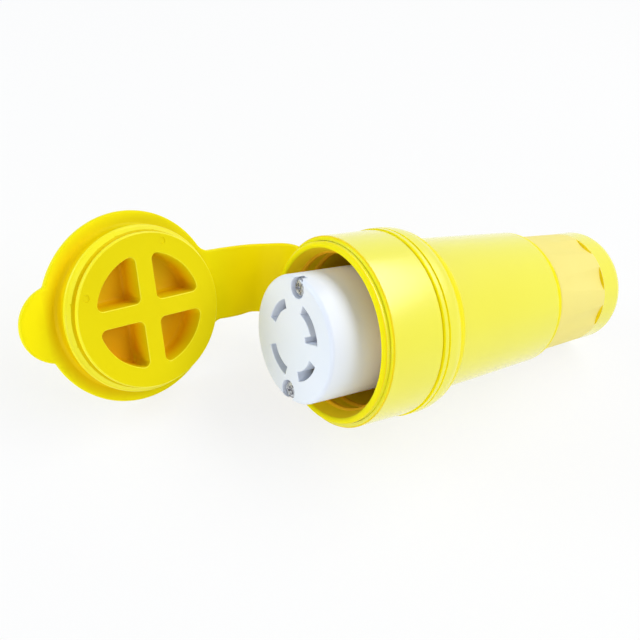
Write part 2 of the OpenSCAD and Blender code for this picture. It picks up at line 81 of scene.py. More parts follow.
FLOOR_Z, POCKET_END_Z, CHAMBER_R = -26.0, -66.0, 15.5
TAIL_R, TAIL_BORE_R, TAIL_LEN, SEAT_LEN = 20.0, 17.0, 20.0, 14.0
TAIL_END_Z = SHELL_END_Z - TAIL_LEN
SEAT_Z = TAIL_END_Z + SEAT_LEN
THREAD_ROOT_R, THREAD_PITCH, THREAD_TURNS, THREAD_START = 19.1, 3.0, 5, 0.6
THREAD_FOOT, THREAD_FOOT_W, THREAD_TOP, THREAD_LOW, THREAD_HIGH = 0.6, 2.2, 0.05, 0.8, 1.4
SHELL_CORNER, NUT_CORNER = 0.35, 0.5

NUT_FRONT_Z, NUT_FRONT_R, NUT_RING_R = SHELL_END_Z - 0.3, 23.4, 22.2
NUT_RING_Z = NUT_FRONT_Z - 27.4
NUT_DOME_Z = NUT_RING_Z - 7.3
NUT_ROUND, NUT_HOLE_R, NUT_BORE_R = 5.0, 13.5, 20.3
NUT_END_Z = NUT_DOME_Z - NUT_ROUND
NUT_FLOOR_Z = TAIL_END_Z - 4.9
NOTCH_R, NOTCH_DEPTH, NOTCH_ANGLE, NOTCH_STEP = 16.4, 1.2, 8.2, 40
NOTCHES = (0, 1, 3, 4, 5, 6, 8)
NOTCH_END_Z = NUT_RING_Z + 0.3

INSERT_R, FACE_Z, JOINT_Z, FACE_ROUND = 21.8, 15.75, -8.25, 1.5
SLOT_R, SLOT_W, SLOT_WALL, SLOT_FOOT, FOOT_SWEEP = 12.3, 3.2, 5.5, 3.4, 14
POLES = {"ground": (-7, 60), "line_a": (97.5, 48.5), "neutral": (187, 52), "line_b": (272.5, 49)}
JAW_IN, JAW_OUT, JAW_Z = 10.0, 14.6, FACE_Z - SLOT_WALL - 0.2
GAP = 0.2
SCREW_ANGLE, SCREW_PITCH_R = 69, 18.4
SCREW_HEAD_R, SCREW_HEAD_T, SCREW_R, SCREW_RECESS, SCREW_TIP_Z = 3.0, 2.6, 1.75, 3.2, -36.05
SCREW_CROWN = ((2.85, 0.35), (2.5, 0.66), (1.9, 0.86), (1.2, 0.97), (0.5, 1.0))
CROSS_BLADE, CROSS_SINK, CROSS_TURN = (3.4, 0.8, 1.4), 0.4, 20
RECESS_R, RIM_ROUND = 3.55, 0.3

COLLAR_IN, COLLAR_OUT, COLLAR_END_Z = 31.4, 33.0, BEAD_Z + 0.1
FLANGE_R, FLANGE_T, FLANGE_RIM = 32.7, 2.6, 0.7
PLUG_R, PLUG_BEAD_R, PLUG_LEN, BEAD_BACK, GROOVE_BACK = 25.8, 28.2, 11.6, 6.0, 9.3
POCKET_R, POCKET_DEPTH, CROSS_W, POCKET_ROUND = 19.3, 9.4, 6.0, 2.0
POCKET_SLACK, POCKET_DRAFT, POCKET_RIM, POCKET_FLARE = 0.05, 0.55, 0.35, 0.32
POCKET_FLOOR_IN, POCKET_FLOOR_RISE = 1.4, 2.0
PLUG_END = -FLANGE_T / 2 - PLUG_LEN
DIMPLE_R, DIMPLE_DEPTH, DIMPLE_PITCH_R, DIMPLE_ANGLES = 1.2, 0.3, 23.4, (-159, -71)
TAB_R, TAB_REACH, TAB_FILLET = 13.0, 40.0, 1.6
STRAP_W, STRAP_T, STRAP_ROOT_W, STRAP_FILLET, STRAP_SHIFT = 25.7, 2.0, 37.0, 6.0, 1.0
STRAP_ANGLE, HINGE_R, HINGE_Z = 155, 48.1, 4.1
LID_OPEN, HINGE_YAW, HINGE_LIFT = 87.5, 10.9, 7.6
BEND_X = COLLAR_OUT + STRAP_T / 2
BEND_R = HINGE_R - BEND_X
# Stations along the flat strap, from the lid's centre, between which its form changes
STRAP_START, STRAP_THINS, STRAP_TURNS, STRAP_LEAVES = 34, (35, 44), (36, 58), (40, 56)
# How much each edge of the strap widens and between which stations, and where that ends
SPREAD_ENDS = (67, 76)
SPREAD_NEAR = ((1.0, 33, 40), (0.7, 44, 60))
SPREAD_FAR = ((0.4, 38, 46), (-2.4, 49, 66))
# Cuts that give the lid enough points for its painted light and shade, and the strap enough to bend
LID_GRID, LID_GRID_SHIFT, LID_GRID_LINES = 3, 0.37, 12
STRAP_CUTS, FIRST_CUT, CUT_SPAN_LESS = 40, 35, 35.5
# Directions on the lid for its painted shade, in degrees from the strap
TAB_SIDE, FAR_SIDE = 175, 15
NECK_IN, NECK_OUT = 24.5, 33


# ---- outlines ----
def arc(centre, r, start, end, steps):
    """Points on an arc, with angles in degrees."""
    angles = [radians(start + (end - start) * i / steps) for i in range(steps + 1)]
    return [(centre[0] + r * cos(a), centre[1] + r * sin(a)) for a in angles]


def softened(points, radius, steps=4, keep_above=150):
    """Closed outline with an arc in place of each corner that is sharper than keep_above degrees."""
    result = []
    for i, corner in enumerate(points):
        p = Vector(corner)
        before, after = Vector(points[i - 1]) - p, Vector(points[(i + 1) % len(points)]) - p
        opening = before.angle(after)
        if degrees(opening) > keep_above:
            result.append(tuple(p))
            continue
        reach = min(radius / tan(opening / 2), 0.45 * before.length, 0.45 * after.length)
        r = reach * tan(opening / 2)
        middle = p + (before.normalized() + after.normalized()).normalized() * (r / sin(opening / 2))
        first, last = p + before.normalized() * reach - middle, p + after.normalized() * reach - middle
        sweep = first.angle_signed(last)
        for k in range(steps + 1):
            turned = Matrix.Rotation(-sweep * k / steps, 2) @ first
            result.append(tuple(middle + turned))
    return result


# ---- bench tools ----
def select_only(piece):
    bpy.ops.object.select_all(action="DESELECT")
    piece.select_set(True)
    bpy.context.view_layer.objects.active = piece


def start_edit(piece):
    select_only(piece)
    bpy.ops.object.mode_set(mode="EDIT")
    bpy.ops.mesh.select_all(action="SELECT")


def close_up():
    """Merge seams, turn all faces outwards and leave edit mode."""
    bpy.ops.mesh.select_all(action="SELECT")
    bpy.ops.mesh.remove_doubles(threshold=SEAM)
    bpy.ops.mesh.normals_make_consistent(inside=False)
    bpy.ops.object.mode_set(mode="OBJECT")


def turn(name, outline, sides=160, solid=False):
    """Outline of (radius, height) points turned round the axis, ring by ring.
    A solid one has flat ends; otherwise the outline closes on itself."""
    bpy.ops.object.select_all(action="DESELECT")
    radius, height = outline[0]
    bpy.ops.mesh.primitive_circle_add(vertices=sides, radius=radius, fill_type="NGON" if solid else "NOTHING")
    piece = bpy.context.object
    piece.name = name
    start_edit(piece)
    bpy.ops.transform.translate(value=(0, 0, height))
    for next_radius, next_height in outline[1:] if solid else outline[1:] + outline[:1]:
        if solid:
            bpy.ops.mesh.extrude_region_move()
        else:
            bpy.ops.mesh.extrude_edges_move()
        bpy.ops.transform.translate(value=(0, 0, next_height - height))
        grow = next_radius / radius
        bpy.ops.transform.resize(value=(grow, grow, 1), center_override=(0, 0, 0))
        radius, height = next_radius, next_height
    close_up()
    return piece


def loft(name, rings):
    """Solid through rings of points, each ring extruded from the one before."""
    bpy.ops.object.select_all(action="DESELECT")
    bpy.ops.mesh.primitive_circle_add(vertices=len(rings[0]), radius=1, fill_type="NGON")
    piece = bpy.context.object
    piece.name = name
    start_edit(piece)
    mesh = bmesh.from_edit_mesh(piece.data)
    for vert, point in zip(mesh.verts, rings[0]):
        vert.co = point
    bmesh.update_edit_mesh(piece.data)
    for last, ring in zip(rings, rings[1:]):
        bpy.ops.mesh.extrude_region_move()
        mesh = bmesh.from_edit_mesh(piece.data)
        for vert in [v for v in mesh.verts if v.select]:
            nearest = min(range(len(last)), key=lambda i: (vert.co - Vector(last[i])).length_squared)
            vert.co = ring[nearest]
        bmesh.update_edit_mesh(piece.data)
    close_up()
    return piece


def combine(piece, other, operation):
    """Cut other out of piece, or grow piece by it; other is used up."""
    select_only(piece)
    joint = piece.modifiers.new("Combine", "BOOLEAN")
    joint.operation = operation
    joint.object = other
    joint.solver = "EXACT"
    bpy.ops.object.modifier_apply(modifier=joint.name)
    bpy.data.objects.remove(other)


def cut(piece, other):
    combine(piece, other, "DIFFERENCE")


def grow(piece, other):
    combine(piece, other, "UNION")


def move(piece, matrix):
    select_only(piece)
    piece.matrix_world = matrix
    bpy.ops.object.transform_apply(location=True, rotation=True, scale=True)


def bevel_edges(piece, width, steps, angle):
    select_only(piece)
    rounding = piece.modifiers.new("Rounding", "BEVEL")
    rounding.width = width
    rounding.segments = steps
    rounding.limit_method = "ANGLE"
    rounding.angle_limit = radians(angle)
    rounding.use_clamp_overlap = True
    bpy.ops.object.modifier_apply(modifier=rounding.name)


def lay_down(piece, smooth=35):
    """Put a finished piece where the frame lies, with its place in its mesh."""
    move(piece, LAID)
    select_only(piece)
    bpy.ops.object.shade_smooth_by_angle(angle=radians(smooth))
    flat = piece.modifiers.new("Flat faces stay flat", "WEIGHTED_NORMAL")
    flat.keep_sharp = True
    bpy.ops.object.modifier_apply(modifier=flat.name)


def laid(point):
    return LAID @ Vector(point)


# ---- materials ----
class Finish:
    """A procedural material on Object coordinates, built node by node."""

    def __init__(self, name):
        self.material = bpy.data.materials.new(name)
        self.material.use_nodes = True
        self.tree = self.material.node_tree
        self.shader = self.tree.nodes["Principled BSDF"]
        self.place = self.tree.nodes.new("ShaderNodeTexCoord").outputs["Object"]

    def link(self, source, target):
        self.tree.links.new(source, target)

    def noise(self, scale, detail=3.0, stretch=None):
        source = self.place
        if stretch:
            mapping = self.tree.nodes.new("ShaderNodeMapping")
            mapping.inputs["Scale"].default_value = stretch
            self.link(source, mapping.inputs["Vector"])
            source = mapping.outputs["Vector"]
        node = self.tree.nodes.new("ShaderNodeTexNoise")
        node.inputs["Scale"].default_value = scale
        node.inputs["Detail"].default_value = detail
        self.link(source, node.inputs["Vector"])
        return node.outputs["Fac"]

    def ramp(self, value, stops):
        node = self.tree.nodes.new("ShaderNodeValToRGB")
        marks = node.color_ramp.elements
        while len(marks) < len(stops):
            marks.new(0.5)
        for mark, (position, colour) in zip(marks, stops):
            mark.position = position
            mark.color = (*colour, 1)
        self.link(value, node.inputs["Fac"])
        return node.outputs["Color"]

    def spread(self, value, low, high, from_low=0.3, from_high=0.7):
        node = self.tree.nodes.new("ShaderNodeMapRange")
        node.inputs["From Min"].default_value = from_low
        node.inputs["From Max"].default_value = from_high
        node.inputs["To Min"].default_value = low
        node.inputs["To Max"].default_value = high
        self.link(value, node.inputs["Value"])
        return node.outputs["Result"]

    def mix(self, amount, first, second):
        node = self.tree.nodes.new("ShaderNodeMix")
        node.data_type = "RGBA"
        self.link(amount, node.inputs[0])
        self.link(first, node.inputs[6])
        self.link(second, node.inputs[7])
        return node.outputs[2]

    def attribute(self, name):
        node = self.tree.nodes.new("ShaderNodeAttribute")
        node.attribute_name = name
        return node.outputs["Fac"]

    def bump(self, height, depth, strength):
        node = self.tree.nodes.new("ShaderNodeBump")
        node.inputs["Distance"].default_value = depth * METRES
        node.inputs["Strength"].default_value = strength
        self.link(height, node.inputs["Height"])
        self.link(node.outputs["Normal"], self.shader.inputs["Normal"])


def moulded(name, light, dark, rough, grain, depth):
    """Moulded plastic or rubber: slow colour drift, uneven gloss and a fine moulded grain."""
    finish = Finish(name)
    finish.drift = finish.noise(28, 2)
    finish.colour = finish.ramp(finish.drift, [(0.35, dark), (0.65, light)])
    finish.link(finish.colour, finish.shader.inputs["Base Color"])
    gloss = finish.noise(130, 4)
    finish.link(finish.spread(gloss, rough[0], rough[1]), finish.shader.inputs["Roughness"])
    finish.bump(finish.noise(grain, 3), depth, 0.35)
    return finish


def metal(name, light, dark, rough, grain):
    """Plated or rolled metal with faint tarnish and fine scratches."""
    finish = Finish(name)
    finish.shader.inputs["Metallic"].default_value = 1.0
    tarnish = finish.noise(900, 4)
    finish.link(finish.ramp(tarnish, [(0.35, dark), (0.62, light)]), finish.shader.inputs["Base Color"])
    finish.link(finish.spread(finish.noise(900, 2), *rough), finish.shader.inputs["Roughness"])
    finish.bump(finish.noise(grain, 2, (1, 1, 0.15)), 0.02, 0.3)
    return finish


SHELL_LIGHT, SHELL_DARK = (0.92, 0.87, 0.012), (0.91, 0.85, 0.008)


def glossy(name, light, dark):
    """Polished plastic: the moulded finish under a clear wet-looking gloss."""
    finish = moulded(name, light, dark, (0.22, 0.27), 900, 0.01)
    finish.shader.inputs["Coat Weight"].default_value = 1.0
    finish.shader.inputs["Coat Roughness"].default_value = 0.2
    finish.shader.inputs["Coat IOR"].default_value = 1.8
    finish.shader.inputs["Specular IOR Level"].default_value = 0.1
    return finish


def satin(name, light, dark, specular):
    """Moulded plastic with a dull, even surface."""
    finish = moulded(name, light, dark, (0.40, 0.50), 1100, 0.02)
    finish.shader.inputs["Specular IOR Level"].default_value = specular
    return finish


shell_yellow = glossy("shell gloss yellow", SHELL_LIGHT, SHELL_DARK)
nut_ring_yellow = glossy("nut ring gloss yellow", (0.93, 0.87, 0.015), (0.92, 0.85, 0.01))
# Painted shade: the mouth's inner wall takes a deeper orange than the shell. It stands in for the shade inside
# the mouth and for the light that comes through its wall.
mouth_painted_shade = satin("mouth wall painted shade yellow", (1.0, 0.72, 0.01), (0.98, 0.68, 0.005), 0.1)
# Painted shadow: the ribs inside the mouth take a darker orange for the shade along them.
rib_painted_shadow = satin("mouth rib painted shadow orange", (0.95, 0.52, 0.01), (0.92, 0.47, 0.005), 0.1)
seam_yellow = satin("shell satin yellow", (0.98, 0.87, 0.003), (0.96, 0.84, 0.001), 0.1)
# Painted shade: step faces at the lip, at the collar's front edge and at the ends of the nut's notches take a
# deep yellow for the shade on them.
step_painted_shade = satin("step painted shade yellow", (0.93, 0.72, 0.0), (0.90, 0.68, 0.0), 0.2)
# Painted highlight: the lid's bead, plug ring and pocket rims take a paler yellow for the gloss along their
# crests.
edge_painted_highlight = moulded("lid edge painted highlight yellow", (0.98, 0.89, 0.015), (0.96, 0.86, 0.01), (0.32, 0.40), 1600, 0.01)
edge_painted_highlight.shader.inputs["Specular IOR Level"].default_value = 0.3
# Lid vinyl yellow for the disc and plug. The mixes below paint light and shade onto it: a lighter painted glow
# where the vinyl is thin, painted shade at the neck, in the plug's groove, along the strap and in the pockets,
# and the shell's own yellow on the collar's sleeve.
lid_yellow = moulded("lid vinyl yellow", (0.85, 0.72, 0.001), (0.82, 0.68, 0.0), (0.40, 0.52), 1600, 0.02)
lid_yellow.shader.inputs["Specular IOR Level"].default_value = 0.08
for share, dark, light in (("painted_glow_thin_wall", (0.97, 0.85, 0.0), (0.99, 0.88, 0.002)),
                           ("lid_painted_shade", (0.90, 0.62, 0.0), (0.93, 0.66, 0.0)),
                           ("pocket_depth", (0.84, 0.44, 0.0), (0.88, 0.49, 0.0)),
                           ("near_collar", SHELL_DARK, SHELL_LIGHT)):
    other = lid_yellow.ramp(lid_yellow.drift, [(0.35, dark), (0.65, light)])
    lid_yellow.colour = lid_yellow.mix(lid_yellow.attribute(share), lid_yellow.colour, other)
lid_yellow.link(lid_yellow.colour, lid_yellow.shader.inputs["Base Color"])
nylon_white = moulded("insert nylon white", (0.85, 0.89, 0.98), (0.82, 0.87, 0.96), (0.32, 0.44), 1300, 0.02)
rubber_black = moulded("grommet black rubber", (0.030, 0.030, 0.032), (0.018, 0.018, 0.020),
                       (0.55, 0.7), 1500, 0.04)
screw_green = moulded("ground screw green", (0.03, 0.30, 0.10), (0.02, 0.22, 0.07), (0.3, 0.45), 900, 0.02)
nickel_plate = metal("screw nickel plate", (0.64, 0.66, 0.70), (0.10, 0.10, 0.12), (0.22, 0.38), 1800)
nickel_plate.shader.inputs["Metallic"].default_value = 0.35
brass_strip = metal("contact brass strip", (0.80, 0.58, 0.22), (0.66, 0.45, 0.15), (0.22, 0.36), 1600)
nut_yellow = moulded("nut matte yellow", (0.95, 0.83, 0.24), (0.93, 0.80, 0.21), (0.50, 0.62), 2200, 0.05)


# ---- shell ----
def build_shell():
    lip = (BARREL_R - MOUTH_R) / 2
    fall = 2 * atan2(SHOULDER_DROP, SHOULDER_LEN)
    fall_r = SHOULDER_LEN / sin(fall)
    outline = arc((MOUTH_R + lip, LIP_H - lip), lip, 180, 0, 18)
    outline += [(BARREL_R, BEAD_Z), (BEAD_R, BEAD_Z), (BEAD_R, GROOVE_Z), (BEAD_R - BEAD_GROOVE, GROOVE_Z),
                (BEAD_R - BEAD_GROOVE, SHOULDER_Z), (BEAD_R, SHOULDER_Z)]
    outline += arc((BEAD_R - fall_r, FALL_Z), fall_r, 0, -degrees(fall), 14)
    outline += [(GRIP_FRONT_R, GRIP_Z)]
    outline += arc((GRIP_REAR_R - GRIP_ROUND, GRIP_END_Z), GRIP_ROUND, 0, -90, 14)
    outline += [(THREAD_ROOT_R, SHELL_END_Z), (THREAD_ROOT_R, TAIL_END_Z)]
    outline += [(TAIL_BORE_R, TAIL_END_Z), (TAIL_BORE_R, SEAT_Z), (CHAMBER_R, SEAT_Z),
                (CHAMBER_R, POCKET_END_Z), (INSERT_R + GAP, POCKET_END_Z), (INSERT_R + GAP, FLOOR_Z),
                (BORE_R, FLOOR_Z)]
    for rib_z in (-RIB_FIRST - RIB_PITCH, -RIB_FIRST):
        outline += [(BORE_R, rib_z - RIB_W), (RIB_R, rib_z - RIB_W / 2), (RIB_R, rib_z + RIB_W / 2),
                    (BORE_R, rib_z + RIB_W)]
    piece = turn("body_shell_moulding", softened(outline, SHELL_CORNER), 192)
    grow(piece, build_thread())
    return piece


def build_thread():
    """One square-topped ridge wound round the tail."""
    low = TAIL_END_Z + THREAD_START
    foot, top = THREAD_ROOT_R - THREAD_FOOT, TAIL_R - THREAD_TOP
    ridge = [(foot, 0), (foot, THREAD_FOOT_W), (top, THREAD_HIGH), (top, THREAD_LOW)]
    bpy.ops.object.select_all(action="DESELECT")
    bpy.ops.mesh.primitive_circle_add(vertices=len(ridge), radius=1, fill_type="NOTHING")
    piece = bpy.context.object
    for vert, (r, z) in zip(piece.data.vertices, ridge):
        vert.co = (r, 0, low + z)
    winding = piece.modifiers.new("Winding", "SCREW")
    winding.axis = "Z"
    winding.steps = winding.render_steps = 96
    winding.iterations = THREAD_TURNS
    winding.screw_offset = THREAD_PITCH
    winding.angle = 2 * pi
    select_only(piece)
    bpy.ops.object.modifier_apply(modifier=winding.name)
    start_edit(piece)
    bpy.ops.mesh.remove_doubles(threshold=0.001)
    bpy.ops.mesh.select_all(action="DESELECT")
    bpy.ops.mesh.select_mode(type="EDGE")
    bpy.ops.mesh.select_non_manifold()
    bpy.ops.mesh.fill_holes(sides=len(ridge))
    bpy.ops.mesh.select_mode(type="VERT")
    close_up()
    return piece


# ---- cable nut ----
def build_nut():
    outline = [(NUT_BORE_R, NUT_FRONT_Z), (NUT_FRONT_R, NUT_FRONT_Z), (NUT_RING_R, NUT_RING_Z)]
    outline += arc((NUT_RING_R - NUT_ROUND, NUT_DOME_Z), NUT_ROUND, 0, -90, 20)
    outline += [(NUT_HOLE_R, NUT_END_Z), (NUT_HOLE_R, NUT_FLOOR_Z), (NUT_BORE_R, NUT_FLOOR_Z)]
    piece = turn("cable_nut_moulding", softened(outline, NUT_CORNER), 180)
    run_out = atan2(NUT_FRONT_R + 0.1 - NUT_RING_R + NOTCH_DEPTH, NUT_FRONT_Z - NOTCH_END_Z)
    cutter = [(NOTCH_R - 0.3, 0), (NOTCH_R - 0.1, 0.1), (NOTCH_R, 0.3), (NOTCH_R, 40)]
    for i in NOTCHES:
        notch = turn("notch", cutter, 160, solid=True)
        move(notch, Matrix.Rotation(radians(NOTCH_ANGLE + i * NOTCH_STEP), 4, "Z")
             @ Matrix.Translation((NUT_RING_R - NOTCH_DEPTH, 0, NOTCH_END_Z))
             @ Matrix.Rotation(run_out, 4, "Y") @ Matrix.Translation((NOTCH_R, 0, 0)))
        cut(piece, notch)
    return piece


# ---- socket insert ----
def sector_rings(inner, outer, first, sweep, heights, spread):
    """Rings of a slot-shaped sector, grown by spread at each height."""
    steps = 20
    rings = []
    for z, extra in zip(heights, spread):
        near, far = inner - extra, outer + extra
        turn_near, turn_far = degrees(extra / near), degrees(extra / far)
        ring = arc((0, 0), far, first - turn_far, first + sweep + turn_far, steps)
        ring += arc((0, 0), near, first + sweep + turn_near, first - turn_near, steps)
        rings.append([(x, y, z) for x, y in ring])
    return rings


def rim_heights(depth_z, face_z, radius, over=1.0):
    """Heights and spreads of a cutter that leaves a rounded rim on the face it opens."""
    marks = [(depth_z, 0.0), (face_z - radius, 0.0)]
    for lean in (25, 50, 72):
        a = radians(lean)
        marks.append((face_z - radius + radius * sin(a), radius * (1 - cos(a))))
    marks.append((face_z + over, radius * 0.98))
    return [m[0] for m in marks], [m[1] for m in marks]


def screw_place(side):
    return Matrix.Rotation(radians(SCREW_ANGLE + side), 4, "Z") @ Matrix.Translation((SCREW_PITCH_R, 0, 0))


def build_insert():
    outline = [(INSERT_R - 0.3, JOINT_Z), (INSERT_R, JOINT_Z + 0.3)]
    outline += arc((INSERT_R - FACE_ROUND, FACE_Z - FACE_ROUND), FACE_ROUND, 0, 90, 12)
    piece = turn("insert_face_moulding", outline, 160, solid=True)
    heights, spread = rim_heights(JAW_Z - 1, FACE_Z, RIM_ROUND)
    slot_in, slot_out = SLOT_R - SLOT_W / 2, SLOT_R + SLOT_W / 2
    for pole, (first, sweep) in POLES.items():
        cut(piece, loft("slot", sector_rings(slot_in, slot_out, first, sweep, heights, spread)))
        if pole == "ground":
            foot = sector_rings(slot_in - SLOT_FOOT, SLOT_R, first, FOOT_SWEEP, heights, spread)
            cut(piece, loft("foot", foot))
        cut(piece, loft("jaw_space", sector_rings(JAW_IN - GAP, JAW_OUT + GAP, first - 2, sweep + 4,
                                                  (JOINT_Z - 1, JAW_Z + GAP), (0, 0))))
    for side in (0, 180):
        spin = screw_place(side)
        depths, flare = rim_heights(FACE_Z - SCREW_RECESS, FACE_Z, RIM_ROUND)
        recess = turn("recess", [(RECESS_R + extra, z) for z, extra in zip(depths, flare)], 64, solid=True)
        move(recess, spin)
        cut(piece, recess)
        hole = turn("hole", [(SCREW_R + GAP, JOINT_Z - 1), (SCREW_R + GAP, FACE_Z)], 40, solid=True)
        move(hole, spin)
        cut(piece, hole)
    return piece


def build_face_screws():
    """Pan-head screws with a cross recess, modelled once and copied."""
    seat = FACE_Z - SCREW_RECESS
    top = seat + SCREW_HEAD_T
    outline = [(SCREW_R - 0.4, SCREW_TIP_Z), (SCREW_R, SCREW_TIP_Z + 0.5), (SCREW_R, seat),
               (SCREW_HEAD_R - 0.1, seat), (SCREW_HEAD_R, seat + 0.15), (SCREW_HEAD_R, top - 1)]
    outline += [(r, top - 1 + h) for r, h in SCREW_CROWN]
    first = turn("face_screw", outline, 64, solid=True)
    for quarter in (0, 90):
        bpy.ops.object.select_all(action="DESELECT")
        bpy.ops.mesh.primitive_cube_add(size=1)
        blade = bpy.context.object
        start_edit(blade)
        bpy.ops.transform.resize(value=CROSS_BLADE)
        mesh = bmesh.from_edit_mesh(blade.data)
        for vert in mesh.verts:
            if vert.co.z < 0:
                vert.co.x *= 0.45
                vert.co.y *= 0.7
        bmesh.update_edit_mesh(blade.data)
        bpy.ops.object.mode_set(mode="OBJECT")
        move(blade, Matrix.Translation((0, 0, top - CROSS_SINK))
             @ Matrix.Rotation(radians(CROSS_TURN + quarter), 4, "Z"))
        cut(first, blade)
    bevel_edges(first, 0.06, 2, 40)
    second = first.copy()
    second.data = first.data.copy()
    scene.collection.objects.link(second)
    for screw, side in ((first, 0), (second, 180)):
        move(screw, screw_place(side))
    select_only(first)
    second.select_set(True)
    bpy.ops.object.join()
    first.name = "face_screws"
    return first


# ---- lid, strap and collar ----
STRAP_DIR = Vector((cos(radians(STRAP_ANGLE)), sin(radians(STRAP_ANGLE)), 0))
ACROSS_DIR = Vector((-sin(radians(STRAP_ANGLE)), cos(radians(STRAP_ANGLE)), 0))
OUT_DIR = Vector((0, 0, 1))
HINGE_PT = HINGE_R * STRAP_DIR + HINGE_Z * OUT_DIR
HINGE_AXIS = (-sin(radians(HINGE_YAW)) * cos(radians(HINGE_LIFT)) * STRAP_DIR
              + cos(radians(HINGE_YAW)) * cos(radians(HINGE_LIFT)) * ACROSS_DIR
              + sin(radians(HINGE_LIFT)) * OUT_DIR)
OPENED = (Matrix.Translation(HINGE_PT) @ Matrix.Rotation(radians(LID_OPEN), 4, HINGE_AXIS)
          @ Matrix.Translation(-HINGE_PT))
BEND_LEN = BEND_R * pi / 2
ROOT_X = sqrt(COLLAR_IN ** 2 - (STRAP_ROOT_W / 2 + STRAP_SHIFT) ** 2)
STRAP_END = HINGE_R + BEND_LEN + BEND_X - ROOT_X


def ease(value, low, high):
    t = min(1.0, max(0.0, (value - low) / (high - low)))
    return t * t * (3 - 2 * t)


def strap_spread(x, y):
    """How far the strap's edge stands off its straight side: it widens on the way to its root."""
    steps = SPREAD_NEAR if y > 0 else SPREAD_FAR
    return (1 - ease(x, *SPREAD_ENDS)) * sum(amount * ease(x, low, high) for amount, low, high in steps)


def lid_outline():
    """Flange, thumb tab, tongue, strap and flared root in one flat outline, lid centre at the origin."""
    half, root = STRAP_W / 2, STRAP_ROOT_W / 2
    flare = root - half
    flare_x = HINGE_R + BEND_LEN
    centre_r = FLANGE_R + STRAP_FILLET
    upper = half + STRAP_FILLET - STRAP_SHIFT
    lower = half + STRAP_FILLET + STRAP_SHIFT
    upper_x, lower_x = sqrt(centre_r ** 2 - upper ** 2), sqrt(centre_r ** 2 - lower ** 2)
    upper_lean, lower_lean = degrees(atan2(upper, upper_x)), degrees(atan2(lower, lower_x))
    tab_x = TAB_REACH - TAB_R
    near, far = FLANGE_R + TAB_FILLET, TAB_R + TAB_FILLET
    fillet_x = (near ** 2 - far ** 2 + tab_x ** 2) / (2 * tab_x)
    fillet_y = sqrt(near ** 2 - fillet_x ** 2)
    on_flange = degrees(atan2(fillet_y, -fillet_x))
    on_tab = degrees(atan2(fillet_y, tab_x - fillet_x))
    points = [(STRAP_END, -root - STRAP_SHIFT), (STRAP_END, root - STRAP_SHIFT)]
    points += arc((flare_x, root - STRAP_SHIFT), flare, 0, -90, 10)
    points += [(x, half - STRAP_SHIFT) for x in range(66, 42, -3)]
    points += arc((upper_x, upper), STRAP_FILLET, 270, 180 + upper_lean, 12)
    points += arc((0, 0), FLANGE_R, upper_lean, on_flange, 70)
    points += arc((-fillet_x, fillet_y), TAB_FILLET, on_flange - 180, on_tab - 180, 6)[1:]
    points += arc((-tab_x, 0), TAB_R, on_tab, 360 - on_tab, 48)
    points += arc((-fillet_x, -fillet_y), TAB_FILLET, 180 - on_tab, 180 - on_flange, 6)[1:]
    points += arc((0, 0), FLANGE_R, -on_flange, -lower_lean, 70)
    points += arc((lower_x, -lower), STRAP_FILLET, 180 - lower_lean, 90, 12)[1:]
    points += [(x, -half - STRAP_SHIFT) for x in range(45, 69, 3)]
    points += arc((flare_x, -root - STRAP_SHIFT), flare, 90, 0, 10)
    return [(x, y + strap_spread(x, y)) for x, y in points]


def flat_plate(name, outline, thickness, rim):
    """Plate with a rounded rim, cut to an outline."""
    flat = bpy.data.curves.new(name, "CURVE")
    flat.dimensions = "2D"
    flat.fill_mode = "BOTH"
    flat.extrude = thickness / 2 - rim
    flat.bevel_depth = rim
    flat.bevel_resolution = 3
    flat.offset = -rim
    path = flat.splines.new("POLY")
    path.points.add(len(outline) - 1)
    for point, (x, y) in zip(path.points, outline):
        point.co = (x, y, 0, 1)
    path.use_cyclic_u = True
    piece = bpy.data.objects.new(name, flat)
    scene.collection.objects.link(piece)
    select_only(piece)
    bpy.ops.object.convert(target="MESH")
    piece = bpy.context.object
    start_edit(piece)
    close_up()
    return piece


def pocket_ring(extra, z):
    """One pocket between the cross ribs, grown by extra."""
    low, corner, far_r = CROSS_W / 2 + POCKET_ROUND, POCKET_ROUND + extra, POCKET_R + extra
    far = sqrt((POCKET_R - POCKET_ROUND) ** 2 - low * low)
    lean = degrees(atan2(low, far))
    ring = arc((far, low), corner, -90, lean, 8) + arc((0, 0), far_r, lean, 90 - lean, 20)[1:-1]
    ring += arc((low, far), corner, 90 - lean, 180, 8) + arc((low, low), corner, 180, 270, 8)
    return [(x, y, z) for x, y in ring]


def build_plug():
    """Sealing plug in the flat lid's frame: it stands on the side of the plate that faces down."""
    face = -FLANGE_T / 2
    bead, groove, end = face - BEAD_BACK, face - GROOVE_BACK, face - PLUG_LEN
    neck_r, neck_round = PLUG_BEAD_R - 0.8, 2.0
    outline = [(neck_r + neck_round + 0.4, -0.3)]
    outline += arc((neck_r + neck_round, face - neck_round + 0.12), neck_round, 90, 180, 8)
    outline += arc((neck_r - 0.2, bead), 1.0, 75, -75, 10)
    outline += [(PLUG_R + 0.75, groove + 1.1), (PLUG_R - 0.8, groove + 0.7), (PLUG_R - 0.8, groove - 0.3),
                (PLUG_R + 0.25, groove - 0.7), (PLUG_R + 0.25, end + 0.7)]
    outline += arc((PLUG_R - 0.35, end + 0.6), 0.6, 0, -90, 6)
    return turn("plug", outline, 160, solid=True)


